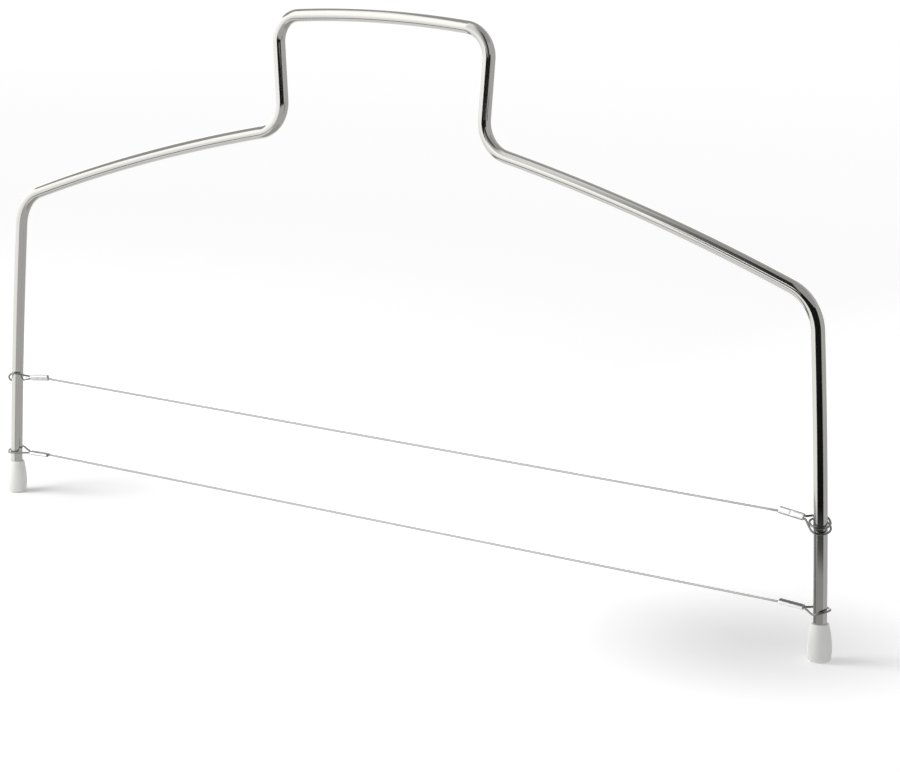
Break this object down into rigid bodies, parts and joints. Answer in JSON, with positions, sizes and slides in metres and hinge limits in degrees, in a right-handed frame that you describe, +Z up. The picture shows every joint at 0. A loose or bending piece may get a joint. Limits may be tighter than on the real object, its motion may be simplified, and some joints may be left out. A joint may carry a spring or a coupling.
{
  "type": "cake leveler",
  "caption": "Cake leveler: a bow of bent steel rod with a raised grip loop, standing on plastic foot caps, with taut cutting wires looped round its legs that slide up and down them.",
  "frame": {"origin": "on the table, midway between the feet, in the plane of the bent rod", "axes": "+X along the cutting wires from the left foot to the right foot, +Y from front to back, +Z up"},
  "size_m": [0.3372, 0.0074, 0.1858],
  "materials": {
    "polished_rod": "bright polished, mirror-like",
    "white_cap_plastic": "smooth moulded, soft sheen",
    "cutting_wire": "bright drawn wire",
    "crimp_sleeve": "bright, smooth, dented by the crimping tool"
  },
  "bodies": {
    "frame": {"frame_rod": "polished_rod", "left_foot_cap": "white_cap_plastic", "right_foot_cap": "white_cap_plastic"},
    "upper_cutting_wire": {"upper_wire": "cutting_wire", "upper_left_sleeve": "crimp_sleeve", "upper_right_sleeve": "crimp_sleeve"},
    "lower_cutting_wire": {"lower_wire": "cutting_wire", "lower_left_sleeve": "crimp_sleeve", "lower_right_sleeve": "crimp_sleeve"}
  },
  "joints": [
    {"name": "upper_wire_slide", "type": "slide", "parent": "frame", "child": "upper_cutting_wire", "axis": [0, 0, 1], "range_m": [-0.005, 0.012]},
    {"name": "lower_wire_slide", "type": "slide", "parent": "frame", "child": "lower_cutting_wire", "axis": [0, 0, 1], "range_m": [-0.0025, 0.01]}
  ]
}
